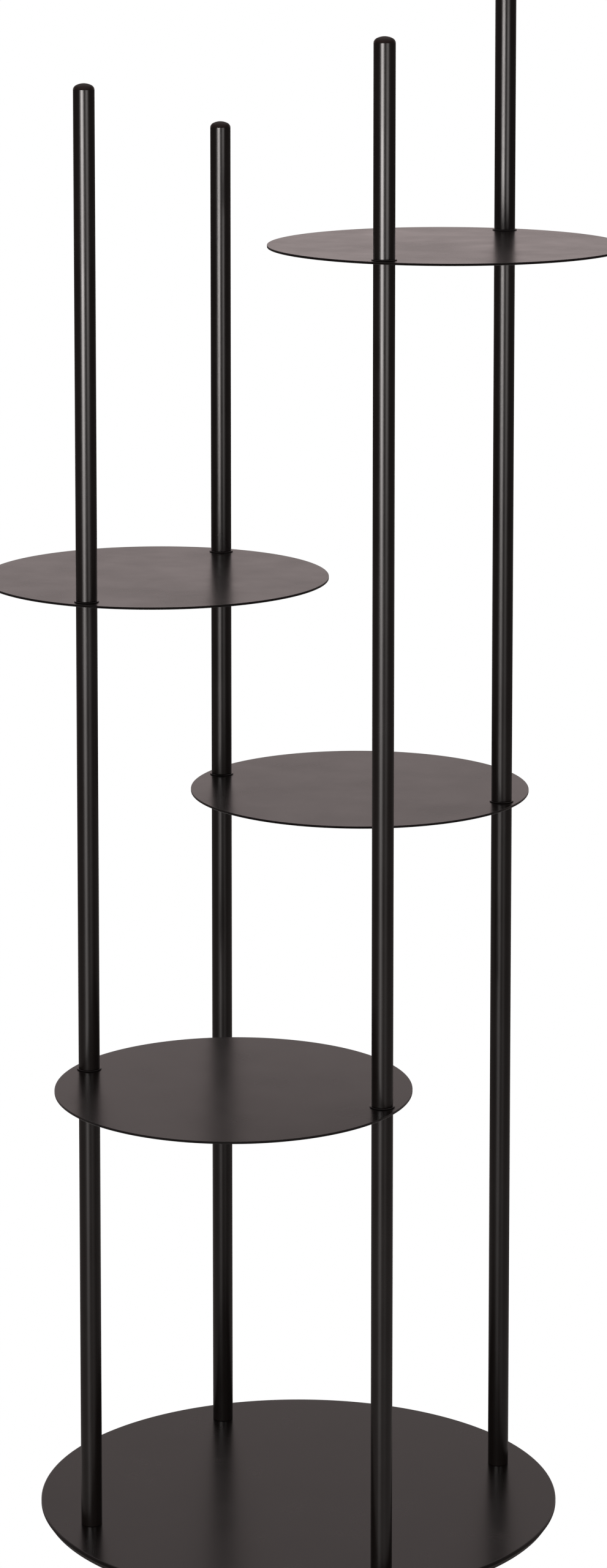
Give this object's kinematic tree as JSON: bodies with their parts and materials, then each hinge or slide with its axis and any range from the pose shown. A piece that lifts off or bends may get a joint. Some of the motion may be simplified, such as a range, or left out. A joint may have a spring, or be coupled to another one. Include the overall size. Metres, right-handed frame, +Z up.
{
  "type": "plant table",
  "caption": "Tall plant stand: thin round shelves at stepped heights between slim round posts of different heights on a heavy round base.",
  "frame": {"origin": "on the floor, under the centre of the round base", "axes": "+Z up, along the posts; -Y is the front, the side that the lowest shelf hangs out to; +X is to the right as seen from the front, the side of the highest shelf"},
  "size_m": [0.57, 0.57, 1.3459],
  "materials": {
    "powder_coat": "satin black powder coat",
    "cap_plastic": "satin moulded black plastic",
    "zinc": "bright zinc plate",
    "foam": "matt closed-cell foam"
  },
  "bodies": {
    "root": {"base_plate": "powder_coat", "floor_mat": "foam", "base_screws": "zinc", "front_shelf": "powder_coat", "front_shelf_washers": "powder_coat", "front_shelf_studs": "zinc", "back_shelf": "powder_coat", "back_shelf_washers": "powder_coat", "back_shelf_studs": "zinc", "left_shelf": "powder_coat", "left_shelf_washers": "powder_coat", "left_shelf_studs": "zinc", "right_shelf": "powder_coat", "right_shelf_washers": "powder_coat", "right_shelf_studs": "zinc", "front_left_lower_tube": "powder_coat", "front_left_middle_tube": "powder_coat", "front_left_upper_tube": "powder_coat", "front_left_inserts": "zinc", "front_left_cap": "cap_plastic", "back_left_lower_tube": "powder_coat", "back_left_middle_tube": "powder_coat", "back_left_upper_tube": "powder_coat", "back_left_inserts": "zinc", "back_left_cap": "cap_plastic", "front_right_lower_tube": "powder_coat", "front_right_middle_tube": "powder_coat", "front_right_upper_tube": "powder_coat", "front_right_inserts": "zinc", "front_right_cap": "cap_plastic", "back_right_lower_tube": "powder_coat", "back_right_middle_tube": "powder_coat", "back_right_upper_tube": "powder_coat", "back_right_inserts": "zinc", "back_right_cap": "cap_plastic"}
  },
  "joints": []
}
